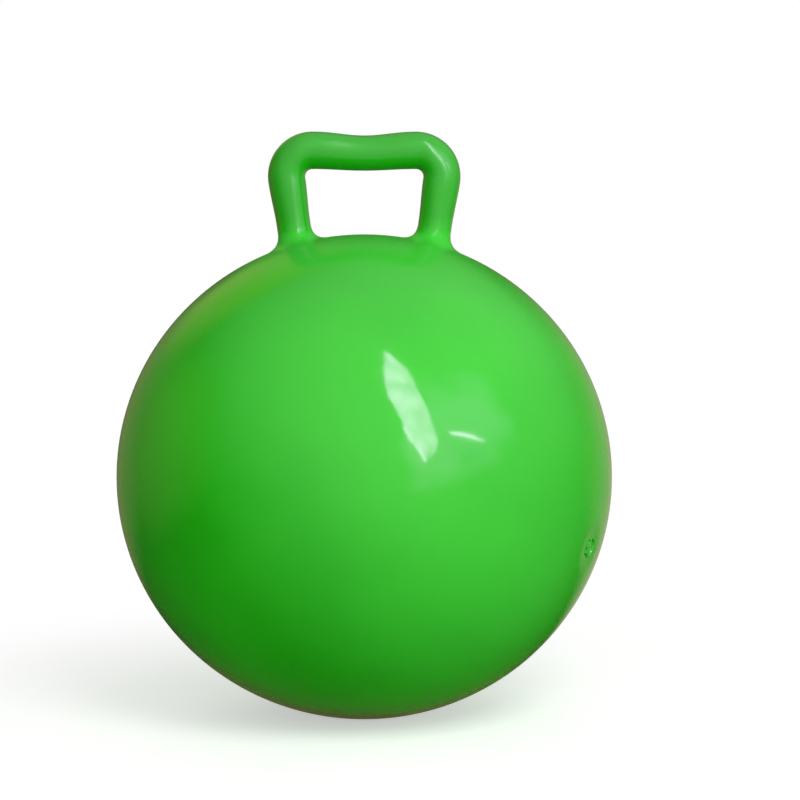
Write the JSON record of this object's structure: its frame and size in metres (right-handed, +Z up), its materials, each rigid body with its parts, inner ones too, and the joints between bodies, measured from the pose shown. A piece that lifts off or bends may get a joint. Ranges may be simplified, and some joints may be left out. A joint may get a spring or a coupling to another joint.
{
  "type": "hopper ball",
  "caption": "Inflated vinyl ball to sit and bounce on, with a hollow moulded hand loop on top and a push-in air valve low on one side.",
  "frame": {"origin": "on the ground, at the centre of the flattened patch under the ball", "axes": "+Z up through the ball and the hand loop, the loop in the XZ plane, the front towards -Y and the valve low on the +X side"},
  "size_m": [0.45, 0.4499, 0.5298],
  "materials": {
    "skin": "gloss",
    "seat": "satin",
    "stopper": "satin"
  },
  "bodies": {
    "ball": {"ball_skin": "skin", "hand_loop": "skin", "valve_seat": "seat"},
    "stopper": {"valve_stopper": "stopper"}
  },
  "joints": [
    {"name": "stopper_pull", "type": "slide", "parent": "ball", "child": "stopper", "axis": [0.8782, -0.4095, -0.2471], "range_m": [0, 0.03]}
  ]
}
